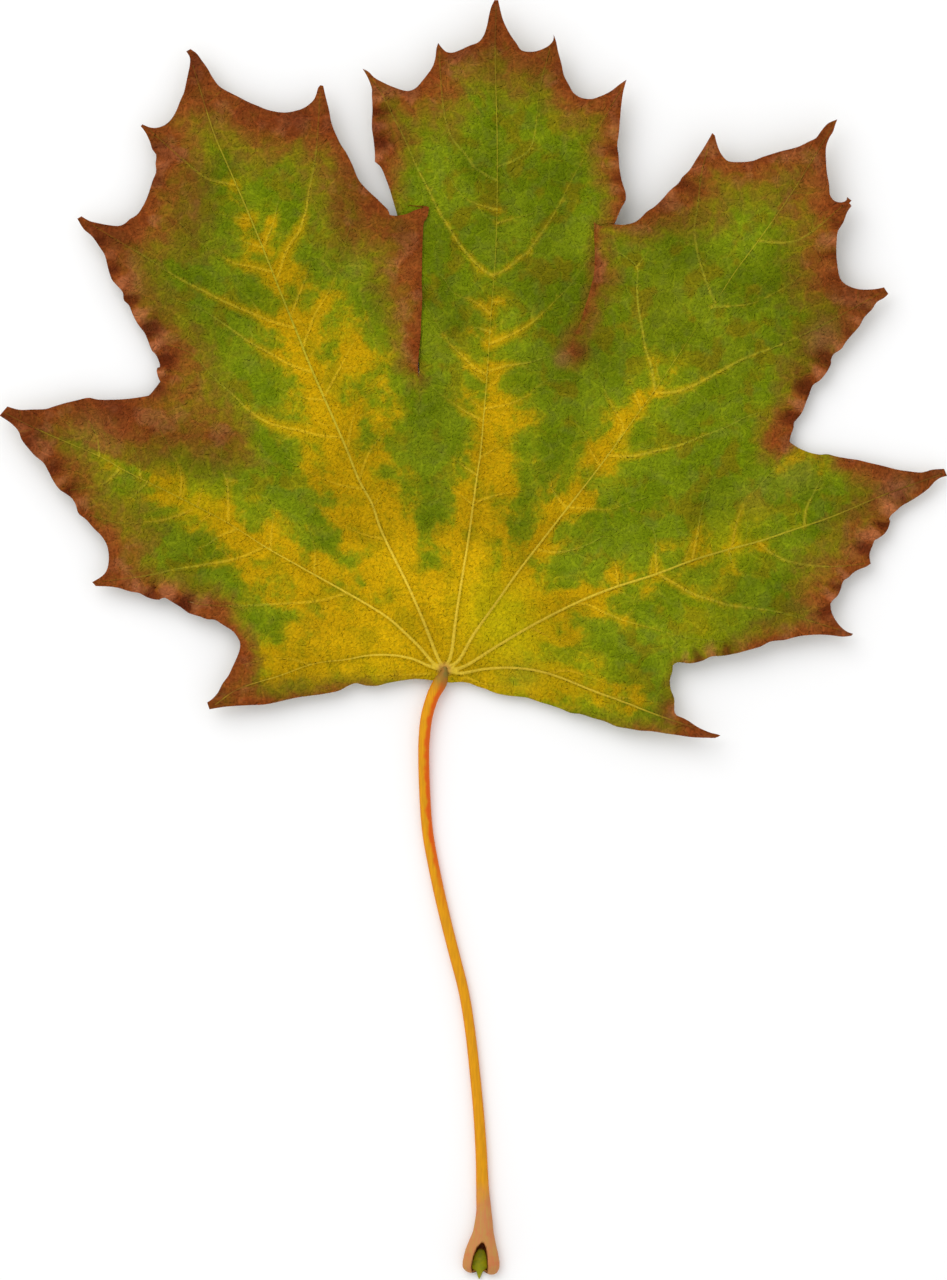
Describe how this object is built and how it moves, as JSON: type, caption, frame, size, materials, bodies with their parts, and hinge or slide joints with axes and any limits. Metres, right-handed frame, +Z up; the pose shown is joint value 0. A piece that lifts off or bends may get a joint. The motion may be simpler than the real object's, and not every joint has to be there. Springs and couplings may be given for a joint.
{
  "type": "maple leaf",
  "caption": "Autumn Norway maple leaf lying face up: a toothed five-lobed blade, two lobes overlapping the middle one, raised ribs below, and a long curved leaf stalk with a flared, hollow foot.",
  "frame": {"origin": "middle of the bottom of the bounding box, on the surface that the leaf lies on", "axes": "+Y from the stalk's foot towards the central lobe's tip, +Z up out of the blade's upper face, +X to the right seen from above"},
  "size_m": [0.1598, 0.2158, 0.0059],
  "materials": {
    "blade": "autumn green fading to golden yellow along the ribs and to reddish brown at the lobes' margins, slightly waxy above and matte below",
    "stalk": "smooth golden orange skin with a redder streak, pinkish tan at the foot"
  },
  "bodies": {
    "root": {"blade": "blade", "stalk": "stalk"}
  },
  "joints": []
}
